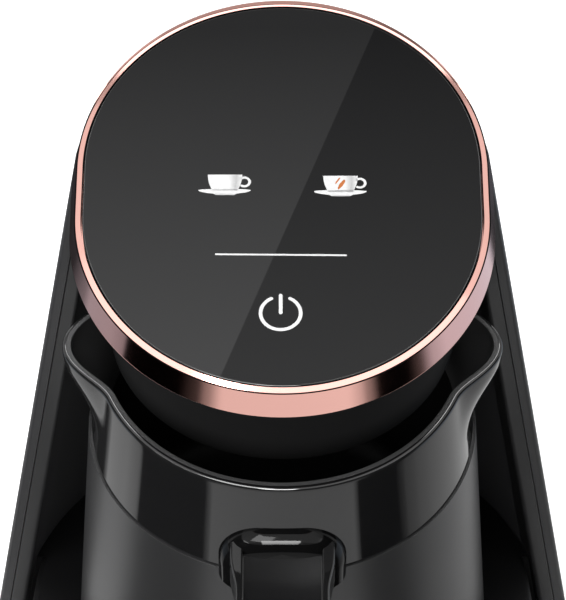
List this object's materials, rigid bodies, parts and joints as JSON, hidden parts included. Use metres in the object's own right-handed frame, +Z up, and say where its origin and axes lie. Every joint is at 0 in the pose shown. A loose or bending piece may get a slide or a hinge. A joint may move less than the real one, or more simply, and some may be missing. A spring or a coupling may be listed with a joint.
{
  "type": "electric turkish coffee maker",
  "caption": "Conical electric Turkish coffee maker: a tilted oval touch panel in a bright ring over an open bay with a two-spouted, long-handled electric pot.",
  "frame": {"origin": "on the table, under the middle of the overall box", "axes": "+Z up, -Y towards the front, where the pot's handle points and the head's panel tilts down; +X to the right"},
  "size_m": [0.1472, 0.1678, 0.1949],
  "materials": {
    "casing": "satin",
    "liner": "gloss",
    "base": "satin",
    "base_plate": "matte",
    "feet": "matte",
    "screws": "satin",
    "bushing": "matte",
    "board": "satin",
    "relay": "satin",
    "transformer": "satin",
    "board_parts": "satin",
    "wiring": "matte",
    "socket": "satin",
    "contacts": "satin",
    "copper_ring": "gloss",
    "touch_glass": "gloss",
    "tape": "matte",
    "light_guide": "satin",
    "head": "satin",
    "sensor_glass": "gloss",
    "collar": "gloss",
    "seal": "matte",
    "pot_body": "satin",
    "steel_cup": "satin",
    "spreader": "satin",
    "element": "satin",
    "pot_base": "satin",
    "handle": "gloss",
    "handle_inlay": "satin"
  },
  "bodies": {
    "machine": {"outer_shell": "casing", "inner_shell": "liner", "base_housing": "base", "base_plate": "base_plate", "rubber_feet": "feet", "base_screws": "screws", "cord_bushing": "bushing", "power_board": "board", "board_screws": "screws", "power_relay": "relay", "supply_transformer": "transformer", "board_parts": "board_parts", "wire_harness": "wiring", "socket_housing": "socket", "socket_contacts": "contacts", "socket_leads": "wiring", "trim_ring": "copper_ring", "glass_panel": "touch_glass", "glass_tape": "tape", "light_guide": "light_guide", "touch_board": "board", "touch_board_parts": "board_parts", "buzzer": "board_parts", "head_cup": "head", "head_floor": "head", "sensor_window": "sensor_glass", "sensor_holder": "head", "head_screws": "screws"},
    "pot": {"pot_collar": "collar", "seal_ring": "seal", "pot_body": "pot_body", "steel_cup": "steel_cup", "heat_spreader": "spreader", "heating_element": "element", "thermostat": "spreader", "pot_screws": "screws", "pot_base": "pot_base", "pot_plug": "pot_base", "pot_pins": "contacts", "handle_frame": "handle", "handle_inlay": "handle_inlay", "handle_screws": "screws"}
  },
  "joints": [
    {"name": "pot_slide", "type": "slide", "parent": "machine", "child": "pot", "axis": [0, -1, 0], "range_m": [0, 0.12]}
  ]
}
